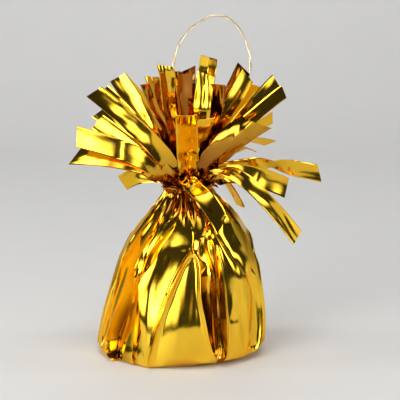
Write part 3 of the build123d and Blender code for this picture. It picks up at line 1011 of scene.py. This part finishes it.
def wireLoop(material):
    across, along = loopFrame()
    facing = np.cross(across, along)
    pivot = np.array(loop["pivot"])
    right = loopHalf()
    flat = np.array(right + [(-x, y) for x, y in right[::-1]][1:])
    flat = roundCurve(flat, loop["strandPoints"])
    middle = pivot + flat[:, :1] * across + flat[:, 1:] * along
    run = runLength(middle)
    ahead = unit(np.gradient(middle, axis=0))
    beside = np.cross(ahead, facing)
    parts = []
    for strand in range(2):
        turn = (run / loop["strandPitch"] * 2 * math.pi + strand * math.pi)[:, None]
        path = middle + (beside * np.cos(turn) + facing * np.sin(turn)) * loop["strandApart"]
        parts.append(wireTube(f"strand{strand}", path, loop["strandRadius"], False))
    wind = np.linspace(0, 1, loop["coilPoints"])[:, None]
    turn = wind * loop["stemTurns"] * 2 * math.pi
    height = loop["eyeRadius"] + loop["coilStart"] + wind * (loop["stem"] - loop["eyeRadius"])
    coil = pivot + along * height + (across * np.cos(turn) + facing * np.sin(turn)) * loop["stemCoil"]
    parts.append(wireTube("stemCoil", coil, loop["coilWire"], False))
    rise = np.linspace(loop["eyeRadius"], loop["stem"] + loop["coreEnd"], loop["corePoints"])[:, None]
    parts.append(wireTube("stemCore", pivot + along * rise, loop["stemCore"], False))
    turn = np.linspace(0, 2 * math.pi, loop["eyePoints"], endpoint=False)
    ring = np.stack([0 * turn, np.cos(turn), np.sin(turn)], axis=1)
    parts.append(wireTube("eye", pivot + ring * loop["eyeRadius"], loop["eyeWire"], True))
    clearSelection()
    for part in parts:
        part.select_set(True)
    bpy.context.view_layer.objects.active = parts[0]
    bpy.ops.object.join()
    piece = bpy.context.object
    piece.name = "wireLoop"
    piece.data.name = "wireLoop"
    smoothShade(piece)
    finishPiece(piece, material, "loop", "loop_wire", "hanging_loop")


# Stage, in metres: pale sweep, soft lamps and the camera. Each panel: name, place, size, strength and the
# point that it faces

stage = {
    "floor": (0.79, 0.785, 0.77, 1),
    "floorGrain": (0.7663, 0.76145, 0.7469, 1),
    "floorNoise": (40, 3, 0.5),
    "floorRoughness": 0.55,
    "floorHaze": 0.1,
    "reach": 2.5,
    "back": 1.1,
    "wall": 1.8,
    "bend": 0.5,
    "bendSteps": 24,
    "near": 0.01,
    "world": (0.035, 0.035, 0.036, 1),
    "sensor": 36,  # sensor and lens in millimetres
    "lens": 157.5,
    "cameraPlace": (0.0078, -0.6914, 0.171),
    "cameraTilt": 81,
    "panels": [
        ("frontLeft", (-0.60, -1.05, 0.49), (1.30, 0.96), 9.5, (0.0, 0.0, 0.06)),
        ("frontMiddle", (0.26, -1.15, 0.52), (0.18, 0.90), 8.5, (0.0, 0.0, 0.06)),
        ("frontRight", (0.72, -0.95, 0.36), (0.62, 0.68), 5.0, (0.0, 0.0, 0.06)),
        ("sideLeft", (-0.90, -0.06, 0.40), (0.45, 0.70), 9.0, (0.0, 0.0, 0.06)),
        ("sideRight", (0.88, 0.04, 0.38), (0.36, 0.66), 7.5, (0.0, 0.0, 0.06)),
        ("top", (0.03, -0.14, 0.82), (0.66, 0.66), 6.0, (0.0, 0.0, 0.06)),
        ("backdrop", (0.0, 0.62, 1.10), (1.60, 0.35), 6.5, (0.0, 1.10, 0.40)),
    ],
}


def paleSweep():
    clearSelection()
    middle = (0, stage["back"] - stage["reach"], 0)
    bpy.ops.mesh.primitive_plane_add(size=2 * stage["reach"], location=middle)
    sweep = bpy.context.object
    sweep.name = "paleSweep"
    backEdge = stage["back"] - stage["near"]
    bpy.ops.object.transform_apply(location=True)
    bpy.ops.object.mode_set(mode="EDIT")
    bpy.ops.mesh.select_mode(type="EDGE")
    bpy.ops.mesh.select_all(action="DESELECT")
    bpy.ops.object.mode_set(mode="OBJECT")
    for edge in sweep.data.edges:
        edge.select = all(sweep.data.vertices[k].co.y > backEdge for k in edge.vertices)
    bpy.ops.object.mode_set(mode="EDIT")
    bpy.ops.mesh.extrude_region_move(TRANSFORM_OT_translate={"value": (0, 0, stage["wall"])})
    bpy.ops.mesh.select_all(action="DESELECT")
    bpy.ops.object.mode_set(mode="OBJECT")
    for edge in sweep.data.edges:
        ends = [sweep.data.vertices[k].co for k in edge.vertices]
        edge.select = all(end.y > backEdge and end.z < stage["near"] for end in ends)
    bpy.ops.object.mode_set(mode="EDIT")
    bpy.ops.mesh.bevel(offset=stage["bend"], segments=stage["bendSteps"], affect="EDGES")
    bpy.ops.object.mode_set(mode="OBJECT")
    smoothShade(sweep)
    kit = newFinish("paleFloor")
    grain = kit.noise(*stage["floorNoise"])
    colour = kit.blend(grain, stage["floor"], stage["floorGrain"])
    roughness = stage["floorRoughness"] + stage["floorHaze"] * grain
    sweep.data.materials.append(kit.finish(Base_Color=colour, Roughness=roughness))


def softBox(name, place, size, radiance, aim):
    # a lit panel: glow is 1 in its middle and falls softly to 0 at its edges
    clearSelection()
    bpy.ops.mesh.primitive_plane_add(size=1)
    panel = bpy.context.object
    panel.name = name
    panel.scale = (*size, 1)
    panel.rotation_euler = (Vector(aim) - Vector(place)).to_track_quat("Z", "Y").to_euler()
    panel.location = place
    panel.visible_camera = False
    kit = newFinish(name)
    spot = kit.node("ShaderNodeTexCoord", {}, {})("UV")
    spot = kit.node("ShaderNodeSeparateXYZ", {}, {"Vector": spot})
    across, up = spot("X"), spot("Y")
    glow = (16 * across * (1 - across) * up * (1 - up)) ** 2
    dull = {"Base_Color": (0, 0, 0, 1), "Roughness": 1.0, "Specular_IOR_Level": 0.0}
    panel.data.materials.append(kit.finish(Emission_Color=glow, Emission_Strength=radiance, **dull))


def studioLight():
    for row in stage["panels"]:
        softBox(*row)
    world = bpy.data.worlds.new("studio")
    world.use_nodes = True
    world.node_tree.nodes["Background"].inputs["Color"].default_value = stage["world"]
    bpy.context.scene.world = world


def photoCamera():
    camera = bpy.data.cameras.new("photoCamera")
    camera.sensor_width = stage["sensor"]
    camera.lens = stage["lens"]
    holder = bpy.data.objects.new("photoCamera", camera)
    holder.location = stage["cameraPlace"]
    holder.rotation_euler = (math.radians(stage["cameraTilt"]), 0, 0)
    bpy.context.collection.objects.link(holder)
    bpy.context.scene.camera = holder


print("stage: camera and light")
photoCamera()
paleSweep()
studioLight()
bpy.context.scene.view_settings.view_transform = "Standard"

print("stage: finishes")
film = goldFilm()
tieMetal = wireMetal("tieMetal", wireFinish["tie"], wireFinish["tieDark"])
loopMetal = wireMetal("loopMetal", wireFinish["bright"], wireFinish["brass"])
for node, material in (("neck_tie", tieMetal), ("weight_core", castCement())):
    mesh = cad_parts[node].data
    mesh.materials.clear()
    mesh.materials.append(material)

print("stage: bag")
bagPiece = foilBag(film)
print("stage: strips")
stripPieces = allStrips(film)
print("stage: wire loop")
wireLoop(loopMetal)
